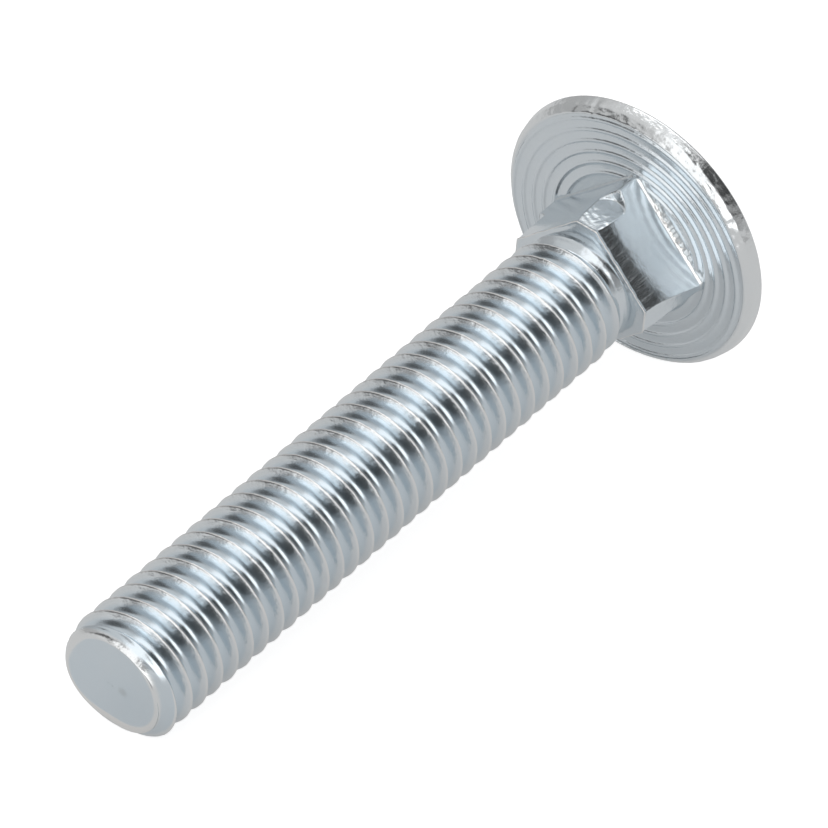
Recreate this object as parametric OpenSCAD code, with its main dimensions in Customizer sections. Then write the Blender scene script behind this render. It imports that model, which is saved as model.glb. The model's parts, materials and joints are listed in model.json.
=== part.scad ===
// Carriage bolt: domed round head, square neck and a fully threaded shank, forged and rolled in one piece.
// The bolt is drawn upright on its own axis, the underside of the head at zero and the tip pointing up,
// and is then laid down on the two points that carry it: the edge of the head and the last thread crest.

/* [Thread] */
// Diameter over the thread crests
crest_d = 9.3; // [8.4:0.05:10.2]
// Distance from one crest to the next along the axis
pitch = 1.5875; // [1.3:0.0125:1.9]
// Depth of the thread from crest to root, as a share of the pitch
thread_depth_share = 0.58; // [0.45:0.01:0.62]
// Width of the crest land, as a share of the pitch
crest_share = 0.14; // [0.08:0.01:0.22]
// Width of the root land, as a share of the pitch
root_share = 0.24; // [0.12:0.01:0.32]
// Length from the neck over which the thread grows to its full depth
runout = 2.6; // [1.5:0.1:5]
// Where the first crest starts along the axis, turned to the side that faces up
thread_start = 1.1; // [0:0.05:1.5]

/* [Length] */
// Length from the underside of the head to the tip
length = 55.6; // [40:0.1:80]
// Diameter of the flat end face
tip_d = 7.8; // [7:0.1:8.2]
// Length of the chamfer at the tip
tip_chamfer = 1.1; // [0.6:0.1:1.8]

/* [Head] */
// Largest diameter of the head
head_d = 21.1; // [18:0.1:24]
// Height of the head from its underside to the top of the dome
head_h = 5.1; // [4.2:0.1:6]
// Height above the underside at which the head is widest
rim_h = 1.3; // [0.8:0.1:2]
// How far the rounded edge takes the flat underside in from the largest diameter
rim_round = 0.6; // [0.3:0.1:1.2]
// How far the forged head sits off the axis of the shank
head_shift = 0.5; // [0:0.05:0.8]
// Direction of that shift about the axis, from the side that faces up
head_shift_turn = 16; // [-180:1:180]

/* [Rings under the head] */
// Radius of the first ring groove
ring_first_r = 6.05; // [5.9:0.05:6.6]
// Distance from one ring groove to the next
ring_step = 0.86; // [0.7:0.02:1.1]
// Number of ring grooves
ring_count = 5; // [1:1:5]
// Width of a ring groove
ring_w = 0.52; // [0.3:0.02:0.6]
// Depth of a ring groove
ring_depth = 0.1; // [0.04:0.02:0.2]

/* [Neck] */
// Width of the square neck across its flats
neck_w = 9.1; // [8.7:0.05:9.8]
// Length of the neck from the underside of the head
neck_h = 5.6; // [4.5:0.1:6.5]
// Turn of the flats about the axis, from the side that faces up
neck_turn = 36; // [0:1:89]
// How far the corners at the head end fall short of a sharp square
neck_corner_worn = 0.1; // [0.05:0.05:0.4]
// Diameter over the cut corners at the shank end of the neck
neck_corner_d = 10.9; // [10.5:0.1:11.6]
// Size of the slope where the flats meet the head
neck_foot = 0.5; // [0.2:0.05:0.8]
// Size of the slope at the shank end of the neck
neck_end_slope = 0.3; // [0.1:0.05:0.4]

/* [Hidden] */
zinc = [0.72, 0.76, 0.79];
smooth = 96;
// columns of points round the thread, and points on each thread profile
columns = 32;
knots = 4;
crest_r = crest_d / 2;
root_r = crest_r - thread_depth_share * pitch;
// the rolled blank lies halfway between crest and root
blank_r = (crest_r + root_r) / 2;
tip_r = tip_d / 2;
head_r = head_d / 2;
// the thread starts a little way inside the neck
thread_sunk = 0.5;
thread_from = neck_h - thread_sunk;
// thread points nearer than this to either end would leave slivers
end_gap = 0.12;
// a cutter stands this far proud of the face that it cuts
proud = 0.4;
// flat sides that the edge of the head is drawn with, and steps of its edge and its dome
head_sides = 48;
edge_steps = 3;
dome_steps = 16;

// Thread profile: where each point lies along the pitch, measured from the middle of the crest
knot_at = [-crest_share / 2, crest_share / 2, 0.5 - root_share / 2, 0.5 + root_share / 2];
knot_r = [crest_r, crest_r, root_r, root_r];

// The columns stand half a step off the side that faces up, so that the laid bolt rests on two of them
function turned(i) = (i + 0.5) / columns;

// Place of profile point q within its own pitch
function place(q) = q - knots * floor(q / knots);

// Height of profile point q of the right-hand helix in column i
function knot_z(q, i) = thread_start + pitch * (floor(q / knots) + knot_at[place(q)] + turned(i));

// Share of the full thread depth at height z
function depth_at(z) = min(1, max(0, (z - neck_h) / runout));

// Radius of the chamfer at height z
function chamfer_at(z) = tip_r + (length - z) * (crest_r - tip_r) / tip_chamfer;

// Radius of profile point q at height z
function knot_radius(q, z) =
    min(blank_r + (knot_r[place(q)] - blank_r) * depth_at(z), chamfer_at(z));

// First and last profile points of column i that lie between the ends of the thread
function turn_at(z, i) = floor((z - thread_start) / pitch - turned(i));
function first_knot(i) = let (q = knots * (turn_at(thread_from + end_gap, i) - 1))
    min([for (k = [q : q + 3 * knots]) if (knot_z(k, i) > thread_from + end_gap) k]);
function last_knot(i) = let (q = knots * (turn_at(length - end_gap, i) - 1))
    max([for (k = [q : q + 3 * knots]) if (knot_z(k, i) < length - end_gap) k]);
firsts = [for (i = [0 : columns]) first_knot(i)];
lasts = [for (i = [0 : columns]) last_knot(i)];

// Each column holds one point on the lower end, its profile points and one point on the upper end
function around(r, z, i) = [r * cos(360 * turned(i)), r * sin(360 * turned(i)), z];
thread_points = [for (i = [0 : columns - 1]) each concat(
    [around(blank_r, thread_from, i)],
    [for (q = [firsts[i] : lasts[i]]) let (z = knot_z(q, i)) around(knot_radius(q, z), z, i)],
    [around(tip_r, length, i)])];
starts = [for (i = 0, s = 0; i < columns; s = s + lasts[i] - firsts[i] + 3, i = i + 1) s];
function low(i) = starts[i % columns];
function at(i, q) = starts[i % columns] + 1 + q - firsts[i];
function top(i) = at(i, lasts[i] + 1);

// A helix rises from column to column, so points enter at the lower end and leave at the upper one
function strip(i) = concat(
    [[low(i), at(i + 1, firsts[i + 1]), low(i + 1)]],
    [for (q = [firsts[i + 1] : 1 : firsts[i] - 1]) [low(i), at(i + 1, q + 1), at(i + 1, q)]],
    [[low(i), at(i, firsts[i]), at(i + 1, firsts[i])]],
    [for (q = [firsts[i] : lasts[i + 1] - 1]) each [
        [at(i, q), at(i, q + 1), at(i + 1, q + 1)],
        [at(i, q), at(i + 1, q + 1), at(i + 1, q)]]],
    [for (q = [lasts[i + 1] : 1 : lasts[i] - 1]) [top(i + 1), at(i, q), at(i, q + 1)]],
    [[top(i + 1), at(i + 1, lasts[i + 1]), at(i, lasts[i + 1])]],
    [[top(i), top(i + 1), at(i, lasts[i])]]);
thread_faces = concat(
    [[for (i = [0 : columns - 1]) low(i)]],
    [[for (i = [columns - 1 : -1 : 0]) top(i)]],
    [for (i = [0 : columns - 1]) each strip(i)]);

// Dome: a sphere cap from the widest circle of the head to its top
cap_h = head_h - rim_h;
cap_r = (head_r * head_r + cap_h * cap_h) / (2 * cap_h);
cap_turn = asin(head_r / cap_r);

// Resting place: the bolt leans on the edge of the head and on the last full crest on its lower side.
// The two columns of thread points nearest the floor carry it there, and one flat side of the head here.
shift_up = head_shift * cos(head_shift_turn);
shift_side = head_shift * sin(head_shift_turn);
crest_turn = turn_at(length - tip_chamfer, columns / 2);
crest_z = knot_z(knots * crest_turn + 1, columns / 2);
crest_low = crest_r * cos(180 / columns);
side_share = cos(180 / head_sides);
head_low = head_r * side_share - shift_up;
lean = atan((head_low - crest_low) / (crest_z + rim_h));
rest_height = head_low * cos(lean) - rim_h * sin(lean);

// The edge is an ellipse, whose last step is a band that lies flat on the floor
band_turn = 90 - 2 * atan(rim_h * tan(lean) / (rim_round * side_share));
function edge_at(a) = [head_r - rim_round * (1 - sin(a)), -rim_h * (1 - cos(a))];

// Outline of half the head, from its underside round the edge and up the dome
head_outline = concat(
    [for (k = [0 : edge_steps]) edge_at(band_turn * k / edge_steps)],
    [edge_at(90)],
    [for (k = [dome_steps - 1 : -1 : 1]) let (a = cap_turn * k / dome_steps)
        [cap_r * sin(a), -head_h + cap_r * (1 - cos(a))]]);

// Each point of the outline makes one ring of corners, half a side off the side that faces up
top_ring = len(head_outline) - 1;
function corner(k, i) = k * head_sides + i % head_sides;
head_points = concat(
    [for (p = head_outline, i = [0 : head_sides - 1]) let (a = 360 * (i + 0.5) / head_sides)
        [p[0] * cos(a), p[0] * sin(a), p[1]]],
    [[0, 0, -head_h]]);
head_faces = concat(
    [[for (i = [head_sides - 1 : -1 : 0]) i]],
    [for (k = [0 : top_ring - 1], i = [0 : head_sides - 1])
        [corner(k, i), corner(k, i + 1), corner(k + 1, i + 1), corner(k + 1, i)]],
    [for (i = [0 : head_sides - 1]) [corner(top_ring, i), corner(top_ring, i + 1), len(head_points) - 1]]);

// Ends of the laid bolt along the floor, which set the middle that the origin lies under
tip_x = -length * cos(lean) - tip_r * sin(lean);
dome_x = cap_r - (cap_r - head_h) * cos(lean) - shift_up * sin(lean);
middle_x = (tip_x + dome_x) / 2;

module head() {
    difference() {
        translate([shift_up, shift_side, 0]) polyhedron(head_points, head_faces);
        for (k = [0 : ring_count - 1])
            ring_groove(ring_first_r + k * ring_step);
    }
}

// Groove with sloping sides, pressed into the underside about the axis of the shank
module ring_groove(r) {
    top_w = ring_w * (ring_depth + proud) / ring_depth;
    rotate_extrude($fn = smooth)
        polygon([[r, -ring_depth], [r + top_w / 2, proud], [r - top_w / 2, proud]]);
}

module neck() {
    rotate([0, 0, neck_turn]) {
        intersection() {
            translate([-neck_w / 2, -neck_w / 2, -proud]) cube([neck_w, neck_w, neck_h + proud]);
            neck_corners();
        }
        neck_foot_slope();
    }
}

// The corners are nearly sharp at the head and cut away towards the shank
module neck_corners() {
    sharp_r = neck_w / sqrt(2) - neck_corner_worn;
    cut_r = neck_corner_d / 2;
    rotate_extrude($fn = smooth)
        polygon([[0, -proud], [sharp_r, -proud], [sharp_r, neck_foot], [cut_r, neck_h - neck_end_slope],
            [cut_r - 2 * neck_end_slope, neck_h], [0, neck_h]]);
}

// Small slope all round where the flats meet the head
module neck_foot_slope() {
    wide = neck_w / 2 + neck_foot;
    slim = neck_w / 2 - proud;
    hull() {
        translate([-wide, -wide, -proud]) cube([2 * wide, 2 * wide, proud]);
        translate([-slim, -slim, -proud]) cube([2 * slim, 2 * slim, 2 * proud + neck_foot]);
    }
}

module thread() {
    polyhedron(thread_points, thread_faces);
}

module bolt() {
    color(zinc)
        translate([-middle_x, -shift_side, rest_height]) rotate([0, -90 - lean, 0]) union() {
            head();
            neck();
            thread();
        }
}

bolt();
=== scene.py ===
"""A zinc plated carriage bolt that lies on a white table, seen from over its tip.

The bolt's surfaces are worked out in millimetres on the bolt's own axis: the underside of the head at
zero, the tip at its length, and turns about the axis counted from the side that faces up. They are then
laid on the frame.
"""

import json
import math

import bpy
import numpy as np
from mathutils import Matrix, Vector


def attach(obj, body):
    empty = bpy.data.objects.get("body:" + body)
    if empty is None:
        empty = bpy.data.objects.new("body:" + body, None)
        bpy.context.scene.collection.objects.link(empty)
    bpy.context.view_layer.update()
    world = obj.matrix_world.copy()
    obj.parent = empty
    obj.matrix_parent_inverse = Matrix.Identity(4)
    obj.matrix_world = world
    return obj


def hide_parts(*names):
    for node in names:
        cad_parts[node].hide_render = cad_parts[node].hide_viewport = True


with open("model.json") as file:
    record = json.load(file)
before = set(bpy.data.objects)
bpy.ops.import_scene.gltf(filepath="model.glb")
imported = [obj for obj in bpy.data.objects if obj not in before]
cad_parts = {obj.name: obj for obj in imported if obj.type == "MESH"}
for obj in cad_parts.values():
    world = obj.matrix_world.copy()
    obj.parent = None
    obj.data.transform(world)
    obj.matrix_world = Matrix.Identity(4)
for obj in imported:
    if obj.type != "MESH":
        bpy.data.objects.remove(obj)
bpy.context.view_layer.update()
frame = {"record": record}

MM = 0.001

# How far the plating is rubbed where nothing touches it: 0 is bluish plating and 1 is bare warm metal
PLAIN_WEAR = 0.3

# Thread, in millimetres, and the turns about the axis between which its ribbon winds
CREST_R = 4.64
PITCH = 1.5875
THREAD_DEPTH = 0.92
BLANK_R = CREST_R - THREAD_DEPTH / 2
THREAD_START = 1.1
RUNOUT = 2.6
LENGTH = 55.6
FIRST_TURN = 2
LAST_TURN = 36.2
TURN_COLUMNS = 76
PITCH_ROWS = 34

# Profile of the thread: what the crest and the root take of the pitch, and their roundings of the depth
CREST_SHARE = 0.08
ROOT_SHARE = 0.32
CREST_ROUND = 0.10
ROOT_ROUND = 0.6

# Depth of the thread's marks, in millimetres: the uneven crest, the fine lines round the run-out and the
# step between them, the torn run-out and the chamfer's nicks
CREST_UNEVEN = 0.012
RUNOUT_LINE = 0.012
RUNOUT_LINE_STEP = 0.45
RUNOUT_TORN = 0.026
CHAMFER_NICK = 0.03

# Tip, in millimetres: its chamfer, the rounding of its lip, how far its edge sits to one side and is worn
# down on its lower side, the dish of its end face, and a smudge on that face
TIP_R = 3.9
TIP_CHAMFER = 1.1
TIP_ROUND = 0.26
TIP_LEAN = 0.16
TIP_SHRINK = 0.4
FACE_DISH = 0.05
SMUDGE_PLACE = (-0.12, -0.84, 55.6)

# How far the ribbon of the thread moves in over the end face for each millimetre that it moves on
FACE_SPEED = 1.9

# Neck, in millimetres
NECK_W = 9.1
NECK_H = 5.6
NECK_TURN = math.radians(36)
NECK_SHARP_R = 6.3
NECK_CUT_R = 5.43
NECK_CUT_FROM = 1.95
NECK_CUT_HALF = math.radians(11.5)
NECK_END_DROP = 0.12
NECK_ROUND_OVER = 0.10
NECK_FOOT = 0.15
NECK_BURR = 0.05

# Depth of the neck's marks, in millimetres: fine streaks and broad ones on its flats, and its rough corners
FINE_STREAK = 0.0016
BROAD_STREAK = 0.002
ROUGH_CORNER = 0.004

# Head, in millimetres
HEAD_R = 10.5
HEAD_H = 5.095
RIM_H = 1.3
RIM_ROUND = 0.6
RIM_BEVEL = 0.16
RIM_BEVEL_H = 0.5
HEAD_SHIFT = 0.5
HEAD_SHIFT_TURN = math.radians(16)
RING_FIRST_R = 5.62
RING_STEP = 0.859
RING_COUNT = 6
RING_DEPTH = 0.13
RING_ROUND = 0.15

# Hammer marks on the rim, in millimetres deep, and a notch in it
BROAD_DENT = 0.028
FINE_DENT = 0.013
NOTCH = 0.12
NOTCH_TURN = math.radians(14)
NOTCH_HALF = 0.017

# Camera: what it aims at and how far off it stands, in millimetres, and where it stands round the bolt
CAMERA_AIM = (1.25, -0.43, 9.02)
CAMERA_DISTANCE = 641.84
CAMERA_AZIMUTH = math.radians(51.88)
CAMERA_ELEVATION = math.radians(34.77)
CAMERA_LENS = 419.26

# Levels of the table: white to the camera, paler in the metal, and grey under the lamp
FLOOR_WHITE = 0.84
FLOOR_IN_METAL = 0.31
FLOOR_GREY = 0.45

# Lamp, in metres: its place, its size and its radiance
LAMP_PLACE = (0.3, -0.02, 0.6)
LAMP_SIZE = (0.72, 0.19)
LAMP_RADIANCE = 1.4

# Soft round patches of the studio that the metal mirrors: azimuth, elevation, the angles from the middle
# at which a patch is full and gone, all in degrees, and its level. The first lies under the softbox.
SIDE_PATCH = (265, 32, 12, 34, 0.32)
PATCHES = (
    (174, 5, 9, 19, 1.3),
    (232, 16, 10, 24, 1.7),
    (26, 48, 14, 30, 0.66),
    (308, 42, 22, 34, 0.05),
    (139, 18, 9, 23, 0.1),
    (205, 0, 5, 14, 0.15))


def smooth_low(a, b, width):
    """The lower of a and b, rounded where they come within width of each other."""
    near = np.maximum(width - np.abs(a - b), 0) / width
    return np.minimum(a, b) - near * near * width / 4


def smooth_high(a, b, width):
    """The higher of a and b, rounded where they come within width of each other."""
    return -smooth_low(-a, -b, width)


def ease(value, start, end):
    """Rises from 0 at start to 1 at end, level at both."""
    share = np.clip((value - start) / (end - start), 0, 1)
    return share * share * (3 - 2 * share)


def hump(value, middle, width):
    """A bell of height 1 at the middle."""
    return np.exp(-((value - middle) / width) ** 2)


def turn_gap(turn, middle):
    """Signed angle from the middle to a turn, between half a turn back and half a turn on."""
    return (turn - middle + math.pi) % (2 * math.pi) - math.pi


def side_hump(turn, degrees, width):
    """A bell about one side of the bolt, which is given in degrees. The width is in radians."""
    return hump(turn_gap(turn, math.radians(degrees)), 0, width)


def grain(points, size, seed, waves=28):
    """Smooth uneven relief of about -1 to 1: waves of about the given size, summed over random headings."""
    draw = np.random.default_rng(seed)
    heading = draw.normal(size=(waves, 3))
    heading /= np.linalg.norm(heading, axis=1)[:, None]
    number = 2 * math.pi / size * draw.uniform(0.6, 1.5, waves)
    phase = draw.uniform(0, 2 * math.pi, waves)
    return np.cos(points @ (heading * number[:, None]).T + phase).sum(-1) / math.sqrt(waves)


def around(radius, turn, along):
    """Points on the bolt's axis frame from a radius, a turn and a place along the axis."""
    return np.stack([radius * np.cos(turn), radius * np.sin(turn), along + 0 * radius], -1)


mounts = {mount["name"]: mount for mount in frame["record"]["mounts"]}
TIP_WAY = np.array(mounts["tip_face"]["axis"]) / np.linalg.norm(mounts["tip_face"]["axis"])
SIDE_WAY = np.array((0.0, 1.0, 0.0))
UP_WAY = np.cross(SIDE_WAY, TIP_WAY)
HEAD_PLACE = np.array(mounts["tip_face"]["pos_m"]) - TIP_WAY * LENGTH * MM


def lay(points):
    """Carries points from the bolt's axis frame, in millimetres, into the frame, in metres."""
    return HEAD_PLACE + MM * (points @ np.stack([UP_WAY, SIDE_WAY, TIP_WAY]))


def solid_mesh(name, points, wear_and_sheen, quads, triangles, material):
    """Makes a smooth closed piece that rides on the bolt. Its points in millimetres, and its share of wear
    together with the painted reflection on the thread's flank and the tip's lip, are kept as attributes."""
    mesh = bpy.data.meshes.new(name)
    mesh.vertices.add(len(points))
    mesh.vertices.foreach_set("co", lay(points).astype(np.float32).ravel())
    corners = np.concatenate([quads.ravel(), triangles.ravel()]).astype(np.int32)
    sizes = np.concatenate([np.full(len(quads), 4), np.full(len(triangles), 3)])
    starts = np.concatenate([[0], np.cumsum(sizes)[:-1]])
    mesh.loops.add(len(corners))
    mesh.loops.foreach_set("vertex_index", corners)
    mesh.polygons.add(len(sizes))
    mesh.polygons.foreach_set("loop_start", starts.astype(np.int32))
    mesh.polygons.foreach_set("use_smooth", np.ones(len(sizes), bool))
    place = mesh.attributes.new("place", "FLOAT_VECTOR", "POINT")
    place.data.foreach_set("vector", points.astype(np.float32).ravel())
    sheen_and_wear_layer = mesh.attributes.new("wear_and_sheen", "FLOAT", "POINT")
    sheen_and_wear_layer.data.foreach_set("value", wear_and_sheen.astype(np.float32))
    mesh.update(calc_edges=True)
    mesh.validate()
    mesh.materials.append(material)
    piece = bpy.data.objects.new(name, mesh)
    bpy.context.scene.collection.objects.link(piece)
    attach(piece, "root")
    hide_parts("bolt")
    return piece


def round_piece(name, grid, wear_and_sheen, material):
    """A closed piece from a grid of points, row by row along the axis and column by column about it. A fan
    on the axis closes each end."""
    rows, columns = grid.shape[:2]
    number = np.arange(rows * columns).reshape(rows, columns)
    following = np.roll(number, -1, axis=1)
    quads = np.stack([number[:-1], following[:-1], following[1:], number[1:]], -1).reshape(-1, 4)
    ends = np.array([grid[0].mean(0), grid[-1].mean(0)])
    first, last = rows * columns, rows * columns + 1
    triangles = np.concatenate([
        np.stack([following[0], number[0], np.full(columns, first)], -1),
        np.stack([number[-1], following[-1], np.full(columns, last)], -1)])
    points = np.concatenate([grid.reshape(-1, 3), ends])
    return solid_mesh(name, points, np.append(wear_and_sheen.ravel(), [0, 0]), quads, triangles, material)


def helix_piece(name, grid, wear_and_sheen, turn_columns, material):
    """A closed piece from a ribbon of points that winds about the axis: column by column on, row by row
    across. The last row of a column meets the first row of the column one turn on. A fan closes each end."""
    columns, rows = grid.shape[:2]
    number = np.arange(columns * rows).reshape(columns, rows)
    inner = np.stack([number[:-1, :-1], number[1:, :-1], number[1:, 1:], number[:-1, 1:]], -1)
    joined = columns - turn_columns
    seam = np.stack([number[:joined - 1, -1], number[1:joined, -1],
                     number[turn_columns + 1:, 0], number[turn_columns:-1, 0]], -1)
    quads = np.concatenate([inner.reshape(-1, 4), seam])
    start_loop = np.concatenate([number[:turn_columns + 1, 0], number[0, :0:-1]])
    end_loop = np.concatenate([number[joined - 1:, -1], number[-1, -2::-1]])
    points = grid.reshape(-1, 3)
    ends = np.array([points[start_loop].mean(0), points[end_loop].mean(0)]) * (0, 0, 1)
    first, last = len(points), len(points) + 1
    triangles = np.concatenate([
        np.stack([np.roll(start_loop, -1), start_loop, np.full(len(start_loop), first)], -1),
        np.stack([end_loop, np.roll(end_loop, -1), np.full(len(end_loop), last)], -1)])
    points = np.concatenate([points, ends])
    return solid_mesh(name, points, np.append(wear_and_sheen.ravel(), [0, 0]), quads, triangles, material)


def thread_height(across):
    """Height of the thread over its root, from 0 to 1, at a share of the pitch from the crest's middle:
    straight flanks, a round root, and a narrow crest with rounded edges."""
    flank = 0.5 - CREST_SHARE / 2 - ROOT_SHARE / 2
    rise = 1 - (np.abs(across) - CREST_SHARE / 2) / flank
    return smooth_high(smooth_low(rise, 1, CREST_ROUND), 0, ROOT_ROUND)


def tip_trim(past, turn):
    """The outline that trims the thread at its tip, by how far past the start of the chamfer a point is: a
    chamfer, a corner that is rounded as a parabola, wider on the lower side, and the flat face. Gives the
    place along the axis, the radius, and 1 on the rounded corner, which is the face's lip, or else 0."""
    round_share = TIP_ROUND + 0.5 * side_hump(turn, 170, 0.9) + 0.25 * side_hump(turn, 55, 0.5)
    edge_r = TIP_R + TIP_LEAN * np.cos(turn - math.radians(51)) - TIP_SHRINK * side_hump(turn, 165, 0.75)
    chamfer_from = TIP_CHAMFER - round_share
    slope = (CREST_R - edge_r) / TIP_CHAMFER
    rounded = np.clip((past - chamfer_from) / (2 * round_share), 0, 1)
    along = np.where(past < chamfer_from, past, TIP_CHAMFER - round_share * (1 - rounded) ** 2)
    on_chamfer = CREST_R - slope * np.minimum(past, chamfer_from)
    bend = (edge_r + slope * round_share) * (1 - rounded) ** 2 + 2 * edge_r * rounded * (1 - rounded)
    bend = bend + (edge_r - round_share) * rounded ** 2
    face = np.maximum(bend - FACE_SPEED * np.maximum(past - chamfer_from - 2 * round_share, 0), 0.02)
    radius = np.where(past < chamfer_from, on_chamfer, face)
    face_r = edge_r - round_share
    dish = FACE_DISH * ease(face_r - radius, 0.05, 0.4)
    lip = ease(radius, face_r - 0.04, face_r + 0.08) * ease(past, chamfer_from - 0.1, chamfer_from + 0.1)
    return LENGTH - TIP_CHAMFER + along - dish, radius, lip


def thread_rub_and_sheen(height, across, along):
    """How much wear the thread has, with a painted reflection in the same share: its flank towards the tip is
    lighter and warmer from a third of its height up, a painted reflection, and has wear near the crest; the
    other flank has wear at the crest alone, and the run-out is as the plain surfaces are."""
    # Painted reflection: the flank towards the tip is made lighter and warmer from a third of its height up;
    # near the crest it also has wear.
    flank_rub_and_sheen = 0.5 * ease(height, 0.35, 0.7) + 0.3 * ease(height, 0.8, 1)
    wear_and_sheen = np.where(across > 0, flank_rub_and_sheen, 0.8 * ease(height, 0.84, 1))
    return wear_and_sheen + (PLAIN_WEAR - wear_and_sheen) * (1 - ease(along, NECK_H + 0.5, NECK_H + RUNOUT))


def make_thread(material):
    """The threaded shank with its run-out at the neck, its chamfer and its end face, as one ribbon that winds
    from inside the neck to the middle of the end face. A column is one profile of the thread across a whole
    pitch, with its points closest at the crest. The profile grows from the blank over the run-out."""
    row = np.linspace(-1, 1, PITCH_ROWS + 1)[:-1]
    across = 0.5 * np.sign(row) * np.abs(row) ** 1.5
    column = np.arange(FIRST_TURN * TURN_COLUMNS, int(LAST_TURN * TURN_COLUMNS))[:, None]
    turn = 2 * math.pi * column / TURN_COLUMNS + 0 * across
    wander = 0.012 * np.cos(turn * 7.3 + 1) * np.cos(turn * 0.61) + 0.008 * np.cos(turn * 13.7)
    along = THREAD_START + PITCH * (column / TURN_COLUMNS + across)
    past = along - (LENGTH - TIP_CHAMFER)
    flat = around(CREST_R, turn, along)
    height = thread_height(across + wander * 0.4 * ease(np.abs(across), 0.5, 0.1))
    wear_and_sheen = thread_rub_and_sheen(height, across, along)
    height = height - CREST_UNEVEN * (1 + grain(flat, 0.6, 5)) * ease(height, 0.8, 1)
    grown = ease(along, NECK_H - 0.4, NECK_H + RUNOUT) ** 0.8
    radius = BLANK_R + (height * THREAD_DEPTH - THREAD_DEPTH / 2) * grown
    lines = np.cos(2 * math.pi * (along - NECK_H) / RUNOUT_LINE_STEP) * hump(along, NECK_H + 0.7, 0.6)
    torn = grain(flat, 0.55, 8) * (1 - grown) * ease(along, NECK_H, NECK_H + 0.5)
    radius = radius + RUNOUT_LINE * lines + RUNOUT_TORN * torn
    trim_along, trim_radius, lip = tip_trim(np.maximum(past, 0), turn)
    nicks = CHAMFER_NICK * grain(around(0.35 * CREST_R + 0 * past, turn, past * 4), 0.9, 31)
    nicks = np.minimum(nicks, 0) * ease(past, 0, 0.2) * ease(past, 1.1, 0.8)
    radius = smooth_low(radius, np.where(past > 0, trim_radius + nicks, radius + 1), 0.1)
    along = np.where(past > 0, trim_along, along)
    # The lip has wear all round. On its lower side it is lighter and warmer still: partly wear where the edge
    # is knocked down, partly a painted reflection.
    lip_rub_and_sheen = 0.2 * ease(lip, 0, 0.1) + 0.7 * lip * (0.6 + 0.7 * side_hump(turn, 165, 1.1))
    wear_and_sheen = np.where(past > 0.2, 0.1 + lip_rub_and_sheen, wear_and_sheen)
    return helix_piece("bolt_thread", around(radius, turn, along), wear_and_sheen, TURN_COLUMNS, material)


def make_neck(material):
    """The square neck as radii about the axis. A flat's radius is half the width over the cosine of the angle
    from its middle, and a corner's cut is the same about the corner. The corners are sharp at the head and
    cut towards the shank, along a round line, and one tapers. A torn fillet goes round the foot and a burr
    round the end, and the flat end face closes on the shank."""
    columns, side_rows, end_rows = 720, 110, 16
    turn = 2 * math.pi * (np.arange(columns) / columns)[None, :]
    top = NECK_H - NECK_END_DROP
    level = np.concatenate([np.linspace(-0.3, top, side_rows), np.full(end_rows, top)])[:, None]
    inward = np.concatenate([np.zeros(side_rows), np.linspace(0, 1, end_rows + 1)[1:]])[:, None]
    flat_turn = (turn - NECK_TURN + math.pi / 4) % (math.pi / 2) - math.pi / 4
    corner_turn = math.pi / 4 - np.abs(flat_turn)
    flat_points = around(NECK_W / 2 + 0 * turn + 0 * level, turn + 0 * level, level)

    torn = hump(turn_gap(turn, NECK_TURN - math.pi / 2), 0, 0.75)
    foot = NECK_FOOT * ease(level, NECK_FOOT * 1.6, 0) * (1 + 0.35 * torn * grain(flat_points, 0.4, 11))
    round_over = NECK_ROUND_OVER * ease(level, NECK_H - 2.1, NECK_H) ** 1.7
    burr = NECK_BURR * hump(level, top - 0.06, 0.08) * (1 + 0.5 * grain(flat_points, 0.9, 12))
    streaks = FINE_STREAK * grain(flat_points * (1, 1, 0.08), 0.13, 13)
    streaks = streaks + BROAD_STREAK * grain(flat_points * (1, 1, 0.2), 0.6, 15)
    streaks = streaks * ease(level, 2.2, NECK_H - 0.8)
    square = (NECK_W / 2 - round_over + foot + burr + streaks) / np.cos(flat_turn)

    round_line = 1 - np.sqrt(np.maximum(1 - (corner_turn / NECK_CUT_HALF) ** 2, 0))
    cut_from = NECK_CUT_FROM + 0.9 * round_line
    uncut = ease(level, cut_from + 0.06, cut_from - 0.06)
    tapered = np.abs(turn_gap(turn, NECK_TURN - 0.75 * math.pi)) < math.pi / 4
    uncut = np.where(tapered, np.clip(1 - level / NECK_H, 0, 1) ** 1.3, uncut)
    leaning = 0.05 * (level - 4) * ease(level, 1.5, 2.5) * (1 - tapered)
    cut = (NECK_CUT_R + leaning + (NECK_SHARP_R - NECK_CUT_R) * uncut) / np.cos(corner_turn)
    rough = ROUGH_CORNER * grain(flat_points * (1, 1, 0.6), 0.3, 14)
    rough = rough * ease(level, NECK_CUT_FROM, NECK_CUT_FROM + 0.4)
    side = smooth_low(square, cut + rough, 0.06)

    end_r = BLANK_R - 0.35
    radius = side + (end_r - side) * inward
    end_level = level + 0.12 * ease(inward, 0, 0.5)
    edges = hump(level, top, 0.12) * ease(inward, 0.08, 0) + ease(level, 0.3, 0.1) * torn
    wear_and_sheen = PLAIN_WEAR + (1 - PLAIN_WEAR) * np.minimum(edges, 1)
    return round_piece("bolt_neck", around(radius, turn + 0 * level, end_level), wear_and_sheen, material)


def ring_relief(radius, turn):
    """Depth of the underside at a radius about the shank: level with the face on the fine ridges that the
    die leaves, and lower between them, by a bell about each ridge. The ridges are fainter above the neck."""
    nearest = np.clip(np.round((radius - RING_FIRST_R) / RING_STEP), 0, RING_COUNT - 1)
    gap = radius - (RING_FIRST_R + nearest * RING_STEP)
    depth = RING_DEPTH * (0.8 + 0.3 * side_hump(turn, -60, 1.0))
    return -depth * (1 - hump(gap, 0, RING_ROUND))


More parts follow.
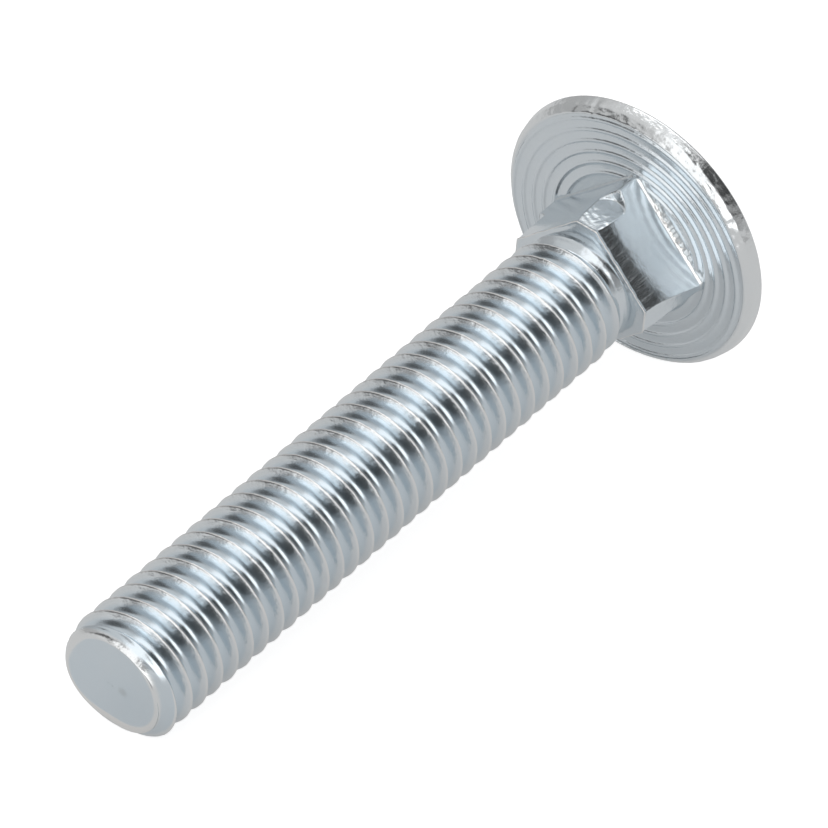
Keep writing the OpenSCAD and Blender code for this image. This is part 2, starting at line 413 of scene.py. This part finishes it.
def rim_outline(count):
    """Radius and level of the rim: a bevel and a steep side, whose corners are rounded as a curve of three
    straight lines that is averaged over a short way."""
    half = 0.12
    flat_r = HEAD_R - RIM_ROUND
    corner_radius = np.array([flat_r - 0.5, flat_r, HEAD_R - RIM_BEVEL, HEAD_R, HEAD_R - 0.1])
    corner_level = np.array([0, 0, -RIM_BEVEL_H, -RIM_H, -RIM_H - 0.1])
    way = np.concatenate([[0], np.cumsum(np.hypot(np.diff(corner_radius), np.diff(corner_level)))])
    place = np.linspace(way[1] - half, way[3], count + 1)[1:]
    near = place[:, None] + np.linspace(-half, half, 9)
    return np.interp(near, way, corner_radius).mean(1), np.interp(near, way, corner_level).mean(1)


def make_head(material):
    """The round head: an underside with rings about the shank, a hammered rim and a plain dome, which is a
    cap of a sphere. Its rows run from the neck out over the underside, round the rim and up the dome, and
    their middle moves off the shank."""
    columns = 380
    turn = np.linspace(0, 2 * math.pi, columns, endpoint=False)[None, ::-1]
    flat_r = HEAD_R - RIM_ROUND
    cap_h = HEAD_H - RIM_H
    cap_r = (HEAD_R ** 2 + cap_h ** 2) / (2 * cap_h)
    under = np.linspace(4.3, flat_r - 0.12, 140)[:, None]
    over = np.linspace(math.asin(HEAD_R / cap_r), 0.02, 60)[1:, None]
    rim_radius, rim_level = [part[:, None] for part in rim_outline(30)]
    radius = np.concatenate([under, rim_radius, cap_r * np.sin(over)])
    level = np.concatenate([0 * under, rim_level, -HEAD_H + cap_r * (1 - np.cos(over))])
    row = np.arange(len(radius))[:, None]
    moved = HEAD_SHIFT * ease(radius, 8.0, flat_r)
    moved[len(under):] = HEAD_SHIFT
    points = around(radius + 0 * turn, turn, level)
    points[..., 0] += moved * math.cos(HEAD_SHIFT_TURN)
    points[..., 1] += moved * math.sin(HEAD_SHIFT_TURN)
    from_shank = np.hypot(points[..., 0], points[..., 1])
    points[..., 2] += (row < len(under)) * ring_relief(from_shank, turn)

    on_rim = hump(row, len(under) + 10, 12)
    facing = 0.25 + 0.75 * side_hump(turn, -35, 1.0)
    dents = (BROAD_DENT * grain(points, 1.0, 21) + FINE_DENT * grain(points, 0.36, 22)) * facing
    dents = dents - NOTCH * hump(turn_gap(turn, NOTCH_TURN), 0, NOTCH_HALF)
    outward = np.stack([np.cos(turn) + 0 * level, np.sin(turn) + 0 * level, 0.5 + 0 * turn + 0 * level], -1)
    points += np.minimum(on_rim * dents, 0.01)[..., None] * outward
    wear_and_sheen = PLAIN_WEAR + 0.35 * ease(row, len(under) - 4, len(under) + 4) + 0 * turn
    return round_piece("bolt_head", points, wear_and_sheen, material)


class Wire:
    """A socket of a node tree. Plain maths on it adds the Math nodes."""

    def __init__(self, tree, socket):
        self.tree = tree
        self.socket = socket

    def math(self, operation, first, second):
        return self.tree.add("ShaderNodeMath", {"operation": operation}, {0: first, 1: second})

    def __add__(self, other):
        return self.math("ADD", self, other)

    def __sub__(self, other):
        return self.math("SUBTRACT", self, other)

    def __rsub__(self, other):
        return self.math("SUBTRACT", other, self)

    def __mul__(self, other):
        return self.math("MULTIPLY", self, other)

    def __truediv__(self, other):
        return self.math("DIVIDE", self, other)

    __radd__ = __add__
    __rmul__ = __mul__


class Tree:
    """A material's or the world's nodes. They are all added by one method."""

    def __init__(self, owner):
        owner.use_nodes = True
        self.nodes = owner.node_tree.nodes
        self.links = owner.node_tree.links
        self.nodes.clear()

    def add(self, kind, settings=None, values=None, output=0):
        """Adds a node, sets its settings and then its sockets, and gives back one of its outputs."""
        node = self.nodes.new(kind)
        for name, setting in (settings or {}).items():
            setattr(node, name, setting)
        for name, value in (values or {}).items():
            if isinstance(value, Wire):
                self.links.new(value.socket, node.inputs[name])
            else:
                node.inputs[name].default_value = value
        return Wire(self, node.outputs[output]) if node.outputs else node

    def rise(self, value, low, high):
        """Rises smoothly from 0 at the low value to 1 at the high one, which may also be the lower of the
        two."""
        return self.add("ShaderNodeMapRange", {"interpolation_type": "SMOOTHSTEP"},
                        {0: value, 1: low, 2: high})

    def blend(self, share, first, second):
        """The first level where the share is 0 and the second where it is 1."""
        return self.add("ShaderNodeMix", {}, {0: share, 2: first, 3: second})

    def tint(self, share, first, second):
        """The first colour where the share is 0 and the second where it is 1."""
        return self.add("ShaderNodeMix", {"data_type": "RGBA"}, {0: share, 6: first, 7: second}, output=2)

    def noise(self, place, scale, detail, stretch=(1, 1, 1)):
        """Noise at a place, with the place stretched first."""
        stretched = self.add("ShaderNodeVectorMath", {"operation": "MULTIPLY"}, {0: place, 1: stretch})
        return self.add("ShaderNodeTexNoise", {}, {"Vector": stretched, "Scale": scale, "Detail": detail})


def zinc():
    """Bright zinc plating on rolled steel: slightly blue, and warm where it has wear, with the same warm
    colour as a painted reflection on the thread's flank towards the tip and on the lower side of the tip's
    lip; duller patches, a fine grain, faint streaks along the bolt, scratches that follow the share of wear
    and painted reflection, and a smudge on the end face."""
    material = bpy.data.materials.new("zinc_plating")
    tree = Tree(material)
    place = tree.add("ShaderNodeAttribute", {"attribute_name": "place"}, output="Vector")
    cloud = tree.noise(place, 0.55, 3.0)
    fine = tree.noise(place, 9.0, 4.0)
    streak = tree.noise(place, 3.0, 3.0, (1, 1, 0.12))
    wear_and_sheen = tree.add("ShaderNodeAttribute", {"attribute_name": "wear_and_sheen"}, output="Fac") + cloud * 0.2 - 0.06
    # Blue plating at 0 and warm bare metal at 1; on the thread's flank towards the tip and on the tip's lip
    # the warm colour is partly a painted reflection.
    colour = tree.tint(wear_and_sheen, (0.63, 0.705, 0.76, 1), (0.83, 0.825, 0.815, 1))
    from_smudge = tree.add("ShaderNodeVectorMath", {"operation": "DISTANCE"},
                           {0: place, 1: SMUDGE_PLACE}, output="Value")
    smudge = tree.rise(from_smudge + 0.5 * fine, 0.8, 0.3)
    colour = tree.tint(smudge * 0.35, colour, (0.4, 0.41, 0.42, 1))
    scratches = tree.noise(place, 1.8, 2.0) * wear_and_sheen
    relief = 0.6 * fine + 0.4 * streak + 8.0 * scratches
    bumped = tree.add("ShaderNodeBump", {}, {"Strength": 0.25, "Distance": 0.00003, "Height": relief})
    shader = tree.add("ShaderNodeBsdfPrincipled", {}, {
        "Base Color": colour, "Metallic": 1.0, "Roughness": 0.12 + 0.10 * cloud + 0.06 * fine,
        "Normal": bumped})
    tree.add("ShaderNodeOutputMaterial", {}, {"Surface": shader})
    return material


def table_top():
    """A white table. The camera sees it as white with the bolt's soft shadow, and the metal mirrors it
    paler."""
    material = bpy.data.materials.new("white_table")
    tree = Tree(material)
    seen = tree.add("ShaderNodeLightPath", output="Is Camera Ray")
    mirrored = tree.add("ShaderNodeLightPath", output="Is Glossy Ray")
    glow = tree.add("ShaderNodeEmission", {}, {
        "Color": (1, 1, 1, 1), "Strength": FLOOR_WHITE * seen + FLOOR_IN_METAL * mirrored})
    matt = tree.add("ShaderNodeBsdfDiffuse", {}, {"Color": (FLOOR_GREY, FLOOR_GREY, FLOOR_GREY, 1)})
    both = tree.add("ShaderNodeAddShader", {}, {0: glow, 1: matt})
    tree.add("ShaderNodeOutputMaterial", {}, {"Surface": both})
    return material


def white_card():
    """A card that shines plain white."""
    material = bpy.data.materials.new("white_card")
    tree = Tree(material)
    glow = tree.add("ShaderNodeEmission", {}, {"Color": (1, 1, 1, 1), "Strength": 1.0})
    tree.add("ShaderNodeOutputMaterial", {}, {"Surface": glow})
    return material


def lay_sheet(name, low, high, level, material):
    """A flat sheet of the studio between two corners, at a level, in metres."""
    mesh = bpy.data.meshes.new(name)
    mesh.from_pydata([(low[0], low[1], level), (high[0], low[1], level), (high[0], high[1], level),
                      (low[0], high[1], level)], [], [(0, 1, 2, 3)])
    mesh.materials.append(material)
    sheet = bpy.data.objects.new(name, mesh)
    bpy.context.scene.collection.objects.link(sheet)


def with_patch(tree, way, level, azimuth, elevation, inner, outer, patch_level):
    """A level that turns into a patch's own within the inner angle of a direction, and stays as it is beyond
    the outer one. The angles are in degrees."""
    turn, rise = math.radians(azimuth), math.radians(elevation)
    middle = (math.cos(turn) * math.cos(rise), math.sin(turn) * math.cos(rise), math.sin(rise))
    near = tree.add("ShaderNodeVectorMath", {"operation": "DOT_PRODUCT"}, {0: way, 1: middle}, output="Value")
    share = tree.rise(near, math.cos(math.radians(outer)), math.cos(math.radians(inner)))
    return tree.blend(share, level, patch_level)


def make_world():
    """A pale studio that grows lighter overhead, with a long white softbox over the tip's side of the bolt,
    and soft patches that are whiter or darker. The softbox's edges are straight lines on a flat ceiling. It
    is plain white where the camera looks past the bolt."""
    world = bpy.data.worlds.new("studio")
    bpy.context.scene.world = world
    tree = Tree(world)
    way = tree.add("ShaderNodeTexCoord", output="Generated")
    along, across, up = [tree.add("ShaderNodeSeparateXYZ", {}, {0: way}, output=name) for name in "XYZ"]
    height = up.math("MAXIMUM", up, 0.04)
    near_edge = tree.rise((across - 0.2 * along) / height, -0.82, -0.62)
    far_edge = tree.rise(across / height, 0.12, -0.12)
    softbox = near_edge * far_edge * tree.rise(along, 0.25, 0.05)
    level = 0.46 + 0.26 * tree.rise(up, 0.3, 0.85)
    level = with_patch(tree, way, level, *SIDE_PATCH)
    level = tree.blend(softbox, level, 1.35)
    for patch in PATCHES:
        level = with_patch(tree, way, level, *patch)
    seen = tree.add("ShaderNodeLightPath", output="Is Camera Ray")
    background = tree.add("ShaderNodeBackground", {}, {
        "Color": (1, 1, 1, 1), "Strength": tree.blend(seen, level, 1.0)})
    tree.add("ShaderNodeOutputWorld", {}, {"Surface": background})


def make_lamp(name, place, size, radiance):
    """A flat lamp that faces the bolt, with the light that gives it this radiance."""
    data = bpy.data.lights.new(name, "AREA")
    data.shape = "RECTANGLE"
    data.size, data.size_y = size
    data.energy = radiance * math.pi * size[0] * size[1]
    lamp = bpy.data.objects.new(name, data)
    lamp.location = place
    lamp.rotation_euler = (-Vector(place)).to_track_quat("-Z", "Y").to_euler()
    bpy.context.scene.collection.objects.link(lamp)


def make_camera():
    """The camera at the photo's angle, far off and held level."""
    data = bpy.data.cameras.new("camera")
    data.lens = CAMERA_LENS
    data.sensor_width = 36
    data.clip_end = 20
    camera = bpy.data.objects.new("camera", data)
    bpy.context.scene.collection.objects.link(camera)
    back = Vector((-math.sin(CAMERA_AZIMUTH) * math.cos(CAMERA_ELEVATION),
                   -math.cos(CAMERA_AZIMUTH) * math.cos(CAMERA_ELEVATION), math.sin(CAMERA_ELEVATION)))
    camera.location = (Vector(CAMERA_AIM) + back * CAMERA_DISTANCE) * MM
    camera.rotation_euler = back.to_track_quat("Z", "Y").to_euler()
    bpy.context.scene.camera = camera


plating = zinc()
make_thread(plating)
make_neck(plating)
make_head(plating)
lay_sheet("floor", (-4, -4), (4, 4), 0, table_top())
lay_sheet("card", (-0.6, -0.2), (-0.085, 0.08), 0.0005, white_card())
make_world()
make_lamp("overhead", LAMP_PLACE, LAMP_SIZE, LAMP_RADIANCE)
make_camera()
bpy.context.scene.view_settings.view_transform = "Standard"
